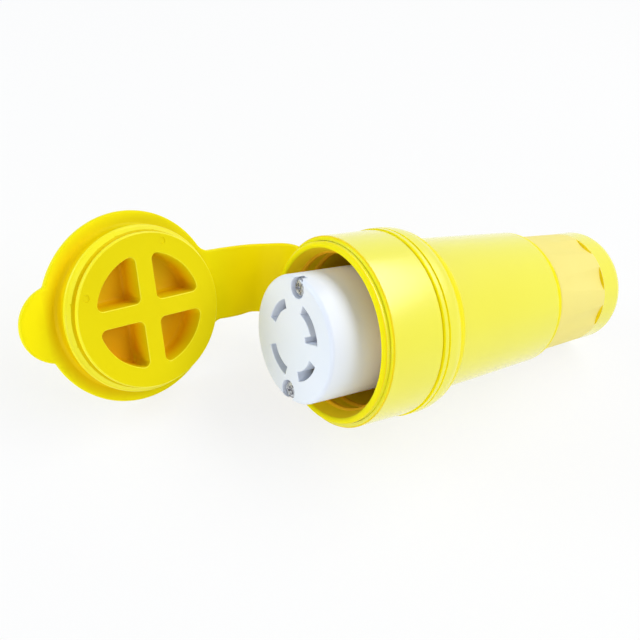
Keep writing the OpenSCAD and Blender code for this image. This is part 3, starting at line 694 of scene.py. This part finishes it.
def pocket_cutter(turned_by):
    floor = PLUG_END + POCKET_DEPTH
    rings = []
    for lean in (0, 18, 36, 54, 72, 90):
        a = radians(lean)
        rings.append(pocket_ring(-POCKET_DRAFT - POCKET_FLOOR_IN * (1 - sin(a)),
                                 floor - POCKET_FLOOR_RISE * (1 - cos(a))))
    rings.append(pocket_ring(-POCKET_SLACK, PLUG_END + POCKET_RIM))
    for lean in (30, 55, 75):
        a = radians(lean)
        rings.append(pocket_ring(-POCKET_SLACK + POCKET_RIM * (1 - cos(a)),
                                 PLUG_END + POCKET_RIM - POCKET_RIM * sin(a)))
    rings.append(pocket_ring(POCKET_FLARE, PLUG_END - 1))
    piece = loft("pocket", rings)
    move(piece, Matrix.Rotation(radians(turned_by), 4, "Z"))
    return piece


def dimple_cutter(turned_by):
    """Shallow mark that an ejector pin leaves on the plug's end."""
    outline = [(DIMPLE_R, PLUG_END - 1), (DIMPLE_R, PLUG_END), (0.9 * DIMPLE_R, PLUG_END + DIMPLE_DEPTH)]
    piece = turn("dimple", outline, 28, solid=True)
    move(piece, Matrix.Rotation(radians(turned_by), 4, "Z") @ Matrix.Translation((DIMPLE_PITCH_R, 0, 0)))
    return piece


def strap_point(x, y, h):
    """Where a point of the flat moulding goes: rigid on the lid, then down the strap's bend to the collar."""
    rigid = OPENED @ (x * STRAP_DIR + y * ACROSS_DIR + (HINGE_Z + h) * OUT_DIR)
    if x < STRAP_START:
        return rigid
    lid_line = OPENED @ (x * STRAP_DIR + HINGE_Z * OUT_DIR)
    lid_way, lid_across = OPENED.to_3x3() @ STRAP_DIR, OPENED.to_3x3() @ ACROSS_DIR
    angle = -min(max(0.0, x - HINGE_R), BEND_LEN) / BEND_R
    past = max(0.0, x - HINGE_R - BEND_LEN)
    before = max(0.0, HINGE_R - x)
    bend_line = ((BEND_X + BEND_R * cos(angle) - past) * STRAP_DIR
                 + (HINGE_Z + BEND_R * sin(angle) + before) * OUT_DIR)
    bend_way = sin(angle) * STRAP_DIR - cos(angle) * OUT_DIR
    share = ease(x, *STRAP_TURNS)
    middle = lid_line.lerp(bend_line, ease(x, *STRAP_LEAVES))
    way = lid_way.lerp(bend_way, share).normalized()
    across = lid_across.lerp(ACROSS_DIR, share)
    across = (across - across.dot(way) * way).normalized()
    thin = 1 + (STRAP_T / FLANGE_T - 1) * ease(x, *STRAP_THINS)
    return middle + y * across + h * thin * way.cross(across)


def build_lid():
    piece = flat_plate("flip_lid_moulding", lid_outline(), FLANGE_T, FLANGE_RIM)
    grow(piece, build_plug())
    for quarter in range(4):
        cut(piece, pocket_cutter(quarter * 90))
    for angle in DIMPLE_ANGLES:
        cut(piece, dimple_cutter(angle))
    start_edit(piece)
    for i in range(-LID_GRID_LINES, LID_GRID_LINES):
        for way in ((1, 0, 0), (0, 1, 0)):
            bpy.ops.mesh.select_all(action="SELECT")
            bpy.ops.mesh.bisect(plane_co=tuple(LID_GRID * (i + LID_GRID_SHIFT) * c for c in way), plane_no=way)
    for i in range(STRAP_CUTS + 1):
        bpy.ops.mesh.select_all(action="SELECT")
        x = FIRST_CUT + (STRAP_END - CUT_SPAN_LESS) * i / STRAP_CUTS
        bpy.ops.mesh.bisect(plane_co=(x, 0, 0), plane_no=(1, 0, 0))
    bpy.ops.object.mode_set(mode="OBJECT")
    for vert in piece.data.vertices:
        vert.co = strap_point(*vert.co)
    sleeve = [(COLLAR_OUT - 0.45, COLLAR_END_Z), (COLLAR_OUT, COLLAR_END_Z + 0.6),
              (COLLAR_OUT, -0.5), (COLLAR_OUT - 0.15, -0.15), (COLLAR_OUT - 0.5, 0)]
    grow(piece, turn("sleeve", sleeve, 192, solid=True))
    cut(piece, turn("bore", [(COLLAR_IN, COLLAR_END_Z - 2), (COLLAR_IN, 2)], 192, solid=True))
    return piece


# ---- pieces ----
def finish_piece(piece, finish, slot, *nodes):
    lay_down(piece)
    piece.data.materials.clear()
    piece.data.materials.append(finish.material)
    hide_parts(*nodes)


TO_BENCH = LAID.inverted()


def second_finish(piece, finish, belongs):
    """Give another finish to the faces that belong says, by their place and direction on the bench."""
    piece.data.materials.append(finish.material)
    for face in piece.data.polygons:
        if belongs(TO_BENCH @ face.center, TO_BENCH.to_3x3() @ face.normal):
            face.material_index = len(piece.data.materials) - 1


def shade_by(piece, name, amount):
    """Write how much of a second colour each point takes, for the material to read."""
    shares = piece.data.attributes.new(name, "FLOAT", "POINT")
    for share, vert in zip(shares.data, piece.data.vertices):
        share.value = amount(TO_BENCH @ vert.co)


def from_axis(place):
    return hypot(place.x, place.y)


shell = build_shell()
finish_piece(shell, shell_yellow, "shell_yellow", "body_shell")
# Painted shade and glow on the mouth's inner wall.
second_finish(shell, mouth_painted_shade, lambda place, way:
              from_axis(place) < MOUTH_R + 0.3 and FLOOR_Z - 1 < place.z < LIP_H - 0.8)
# Painted shadow on the mouth's ribs.
second_finish(shell, rib_painted_shadow, lambda place, way:
              from_axis(place) < BORE_R - 0.1 and -RIB_FIRST - RIB_PITCH - RIB_W < place.z < -RIB_FIRST + RIB_W)
second_finish(shell, seam_yellow, lambda place, way:
              place.z > LIP_H - 0.8
              or (CREASE_Z - 1 < place.z < CREASE_Z + 4.2 and from_axis(place) > GRIP_FRONT_R)
              or (BEAD_Z - 0.35 < place.z < BEAD_Z + 0.2 and from_axis(place) > BARREL_R)
              or (SHOULDER_Z - 0.35 < place.z < GROOVE_Z + 0.35 and from_axis(place) > BARREL_R)
              or (SHELL_END_Z - 0.1 < place.z < GRIP_END_Z and from_axis(place) > TAIL_R + 0.5))
# Painted shade on the lip's outer band, in front of the collar.
second_finish(shell, step_painted_shade, lambda place, way:
              -0.3 < place.z < LIP_H - 0.8 and from_axis(place) > MOUTH_R + 0.3)
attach(shell, "shell")

nut = build_nut()
finish_piece(nut, nut_yellow, "nut_yellow", "compression_nut")
second_finish(nut, nut_ring_yellow, lambda place, way:
              place.z < NUT_RING_Z or from_axis(place) < NUT_HOLE_R + 0.2)
# Painted shade on the steps where the nut's notches end.
second_finish(nut, step_painted_shade, lambda place, way:
              abs(place.z - NOTCH_END_Z) < 0.7 and way.normalized().z > 0.3
              and from_axis(place) > NUT_BORE_R + 0.5)
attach(nut, "nut")

insert = build_insert()
finish_piece(insert, nylon_white, "white_nylon", "insert_face")
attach(insert, "shell")

screws = build_face_screws()
finish_piece(screws, nickel_plate, "nickel", "assembly_screws")
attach(screws, "shell")


TO_LID = OPENED.inverted()


def on_lid(place):
    """A place on the lid before it was opened: along the strap, across it, and over the flange's middle."""
    flat = TO_LID @ place
    return flat.dot(STRAP_DIR), flat.dot(ACROSS_DIR), flat.z - HINGE_Z


def strap_share(place):
    """0 on the lid, rising to 1 along the strap."""
    return ease(-place.z, -22, -8) if from_axis(place) > COLLAR_OUT + 0.2 else 0.0


def painted_glow_thin_wall(place):
    """Painted glow: 1 where the vinyl is thin and light shines through it, 0 on the plug."""
    x, y, h = on_lid(place)
    if h > 0.5:
        return 1.0
    return ease(hypot(x, y), 29, 33) if h > -1.5 or hypot(x, y) > 33 else 0.0


def lid_painted_shade(place):
    """Painted shade, 1 where it is deepest: in the plug's groove, and between plug and flange on the tab's
    side; a little along the strap.
    """
    x, y, h = on_lid(place)
    r = hypot(x, y)
    if h > 0 or r < NECK_IN or r > NECK_OUT:
        return 0.35 * strap_share(place)
    groove = 0.8 * (1 - ease(abs(h + FLANGE_T / 2 + GROOVE_BACK), 0.5, 1.2))
    tab_side = ease(cos(atan2(y, x) - radians(TAB_SIDE)), -0.1, 0.75)
    corner = 1 - ease(r, 28, NECK_OUT) if h > -1.5 else 1 - ease(-h, 4.5, 6.3)
    return max(groove, corner * tab_side)


def pocket_depth(place):
    """Painted shade in the lid's pockets: 0 outside them, rising to 1 at their floors, most on the side away
    from the tab.
    """
    x, y, h = on_lid(place)
    if hypot(x, y) > POCKET_R + 0.1 or h > PLUG_END + POCKET_DEPTH + 0.1:
        return 0.0
    along = x * cos(radians(FAR_SIDE)) + y * sin(radians(FAR_SIDE))
    side = ease(along + POCKET_R if along < 0 else along - CROSS_W / 2, 2, 12)
    return ease(h, PLUG_END + 0.2, PLUG_END + POCKET_DEPTH - 1) * (0.5 + 0.5 * side)


def near_collar(place):
    """1 on the collar's sleeve, falling to 0 along the strap."""
    return (1 - ease(from_axis(place), COLLAR_OUT + 0.1, COLLAR_OUT + 1.5)) * (1 - ease(place.z, 0, 2))


def rounded_edge(place, way):
    """True on the sealing bead, the plug's front ring and the pockets' rims, which take the painted highlight.
    """
    x, y, h = on_lid(place)
    r = hypot(x, y)
    facing_out = abs((TO_LID.to_3x3() @ way).normalized().z) > 0.97
    on_bead = abs(r - PLUG_BEAD_R + 0.5) < 1.1 and -2.0 < h + FLANGE_T / 2 + BEAD_BACK < 0.8
    on_ring = PLUG_END - 0.05 < h < PLUG_END + 1.6 and PLUG_R - 0.5 < r < PLUG_R + 0.4
    on_pocket = PLUG_END - 0.05 < h < PLUG_END + 0.33 and r < POCKET_R + 0.5
    return not facing_out and (on_bead or on_ring or on_pocket)


lid = build_lid()
finish_piece(lid, lid_yellow, "lid_yellow", "lid_collar", "closure_lid")
# Painted glow and shade on the lid, and the sleeve's share of the shell's yellow, written point by point.
for shade in (painted_glow_thin_wall, lid_painted_shade, pocket_depth, near_collar):
    shade_by(lid, shade.__name__, shade)
second_finish(lid, shell_yellow, lambda place, way: from_axis(place) < COLLAR_OUT + 0.02 and place.z < 0.1)
# Painted highlight along the lid's rounded edges.
second_finish(lid, edge_painted_highlight, rounded_edge)
second_finish(lid, seam_yellow, lambda place, way:
              COLLAR_IN < from_axis(place) < COLLAR_OUT and place.z < COLLAR_END_Z + 0.58)
# Painted shade on the collar's front edge.
second_finish(lid, step_painted_shade, lambda place, way:
              COLLAR_IN < from_axis(place) < COLLAR_OUT + 0.1 and -0.6 < place.z < 0.1
              and way.normalized().z > 0.25)
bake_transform(lid)

node_finishes = {
    "insert_base": nylon_white, "friction_ring": nylon_white, "cord_grommet": rubber_black,
    "ground_screw": screw_green, "terminal_screws": brass_strip, "assembly_nuts": nickel_plate,
}
for pole in POLES:
    node_finishes["contact_" + pole] = brass_strip
    node_finishes["clamp_" + pole] = brass_strip
for node, finish in node_finishes.items():
    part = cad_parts[node]
    part.data.materials.clear()
    part.data.materials.append(finish.material)

# ---- studio ----
bpy.ops.object.select_all(action="DESELECT")
bpy.ops.mesh.primitive_plane_add(size=6)
floor = bpy.context.object
floor.name = "studio_floor"
paper = bpy.data.materials.new("floor white paper")
paper.use_nodes = True
paper_tree = paper.node_tree


def seen_rays(tree):
    """1 on rays from the camera, and from gloss and glass, which show the same white studio."""
    path = tree.nodes.new("ShaderNodeLightPath")
    seen = path.outputs["Is Camera Ray"]
    for other in ("Is Glossy Ray", "Is Transmission Ray"):
        node = tree.nodes.new("ShaderNodeMath")
        node.operation = "MAXIMUM"
        tree.links.new(seen, node.inputs[0])
        tree.links.new(path.outputs[other], node.inputs[1])
        seen = node.outputs[0]
    return seen


def spread_between(tree, value, low, high):
    node = tree.nodes.new("ShaderNodeMapRange")
    node.inputs["To Min"].default_value = low
    node.inputs["To Max"].default_value = high
    tree.links.new(value, node.inputs["Value"])
    return node.outputs["Result"]


FLOOR_GLOW, SKY_LIGHT, WHITE = 0.8, 0.35, 1.0
matte = paper_tree.nodes["Principled BSDF"]
matte.inputs["Base Color"].default_value = (0.9, 0.9, 0.9, 1)
matte.inputs["Roughness"].default_value = 0.8
glow = paper_tree.nodes.new("ShaderNodeEmission")
glow.inputs["Strength"].default_value = WHITE
blend = paper_tree.nodes.new("ShaderNodeMixShader")
paper_tree.links.new(spread_between(paper_tree, seen_rays(paper_tree), 0.0, FLOOR_GLOW), blend.inputs["Fac"])
paper_tree.links.new(matte.outputs["BSDF"], blend.inputs[1])
paper_tree.links.new(glow.outputs["Emission"], blend.inputs[2])
paper_tree.links.new(blend.outputs["Shader"], paper_tree.nodes["Material Output"].inputs["Surface"])
floor.data.materials.append(paper)

world = bpy.data.worlds.new("studio")
scene.world = world
world.use_nodes = True
sky = world.node_tree
sky.nodes["Background"].inputs["Color"].default_value = (0.95, 0.975, 1, 1)
sky.links.new(spread_between(sky, seen_rays(sky), SKY_LIGHT, WHITE), sky.nodes["Background"].inputs["Strength"])


def softbox(name, place, aim, size, power, colour=(1, 1, 1)):
    lamp = bpy.data.lights.new(name, "AREA")
    lamp.shape = "RECTANGLE"
    lamp.size, lamp.size_y = size
    lamp.energy, lamp.color = power, colour
    box = bpy.data.objects.new(name, lamp)
    scene.collection.objects.link(box)
    box.location = place
    box.rotation_euler = (Vector(aim) - Vector(place)).to_track_quat("-Z", "Y").to_euler()


softbox("overhead_softbox", (0.55, -0.45, 0.9), (0, -0.45, 0.03), (1.9, 0.5), 10.8)
softbox("back_left_softbox", (-0.85, 0.55, 0.45), (-0.03, 0, 0.03), (0.5, 0.5), 4.8, (0.78, 0.89, 1.0))
softbox("front_softbox", (-0.78, -0.58, 0.2), (-0.03, 0, 0.03), (0.5, 0.25), 2.2)

# ---- camera at the photograph's angle, from directions on the connector's own axes ----
CAMERA_AT = (247.4, 31.0, 176.6)
CAMERA_RIGHT = (0.57701, -0.12185, -0.80759)
CAMERA_DOWN = (0, -0.98879, 0.14919)
CAMERA_AWAY = (-0.81673, -0.08608, -0.57055)
turned = LAID.to_3x3() * (1 / METRES)
lens = bpy.data.cameras.new("photo_camera")
lens.sensor_fit = "HORIZONTAL"
lens.sensor_width = 36
lens.lens = 50.625
lens.clip_start, lens.clip_end = 0.01, 20
camera = bpy.data.objects.new("photo_camera", lens)
scene.collection.objects.link(camera)
right, down, away = (turned @ Vector(v) for v in (CAMERA_RIGHT, CAMERA_DOWN, CAMERA_AWAY))
facing = Matrix((right, -down, -away)).transposed().to_4x4()
camera.matrix_world = Matrix.Translation(laid(CAMERA_AT)) @ facing
scene.camera = camera
